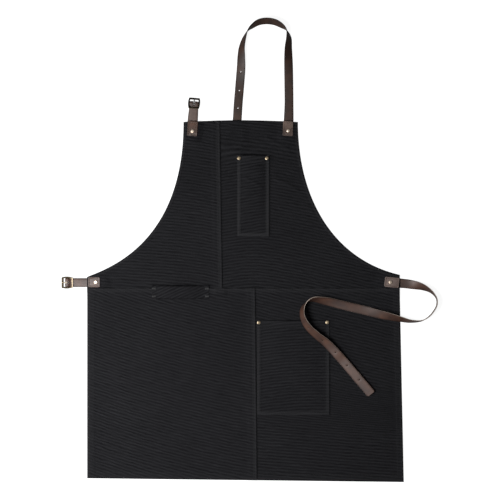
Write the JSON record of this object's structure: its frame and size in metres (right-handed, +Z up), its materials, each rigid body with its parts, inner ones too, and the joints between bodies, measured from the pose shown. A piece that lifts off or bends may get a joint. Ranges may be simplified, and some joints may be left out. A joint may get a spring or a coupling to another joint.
{
  "type": "kitchen apron",
  "caption": "Black canvas kitchen apron laid flat, with chest and hip patch pockets, a towel loop and riveted brown leather neck and waist straps with brass prong buckles.",
  "frame": {"origin": "on the table under the middle of the laid-out apron's box", "axes": "+X to the right seen from the front, +Y towards the neck, +Z up out of the front of the apron"},
  "size_m": [0.8346, 1.0313, 0.0269],
  "materials": {
    "canvas": "matt black cotton canvas with a fine weave",
    "leather": "dark brown strap leather, satin, lighter at the cut edges",
    "brass": "antique brass, satin, worn bright on the high edges"
  },
  "bodies": {
    "apron": {"bib_panel_right": "canvas", "bib_panel_left": "canvas", "skirt_panel_right": "canvas", "skirt_panel_left": "canvas", "chest_pocket": "canvas", "hip_pocket": "canvas", "towel_loop": "canvas", "neck_tab_left": "leather", "neck_tab_right": "leather", "waist_tab_left": "leather", "waist_tab_right": "leather", "neck_strap": "leather", "waist_strap": "leather", "neck_buckle_strap": "leather", "waist_buckle_strap": "leather", "neck_buckle_frame": "brass", "waist_buckle_frame": "brass", "neck_rivet_left": "brass", "neck_rivet_right": "brass", "waist_rivet_left": "brass", "waist_rivet_right": "brass", "chest_rivet_left": "brass", "chest_rivet_right": "brass", "hip_rivet_left": "brass", "hip_rivet_right": "brass"},
    "neck_prong": {"neck_buckle_prong": "brass"},
    "waist_prong": {"waist_buckle_prong": "brass"}
  },
  "joints": [
    {"name": "neck_prong_hinge", "type": "hinge", "parent": "apron", "child": "neck_prong", "pos_m": [-0.12337, 0.32401, 0.0038], "axis": [0.9969, -0.0785, 0], "range_deg": [0, 140]},
    {"name": "waist_prong_hinge", "type": "hinge", "parent": "apron", "child": "waist_prong", "pos_m": [-0.4049, -0.0736, 0.0038], "axis": [0, 1, 0], "range_deg": [0, 140]}
  ]
}
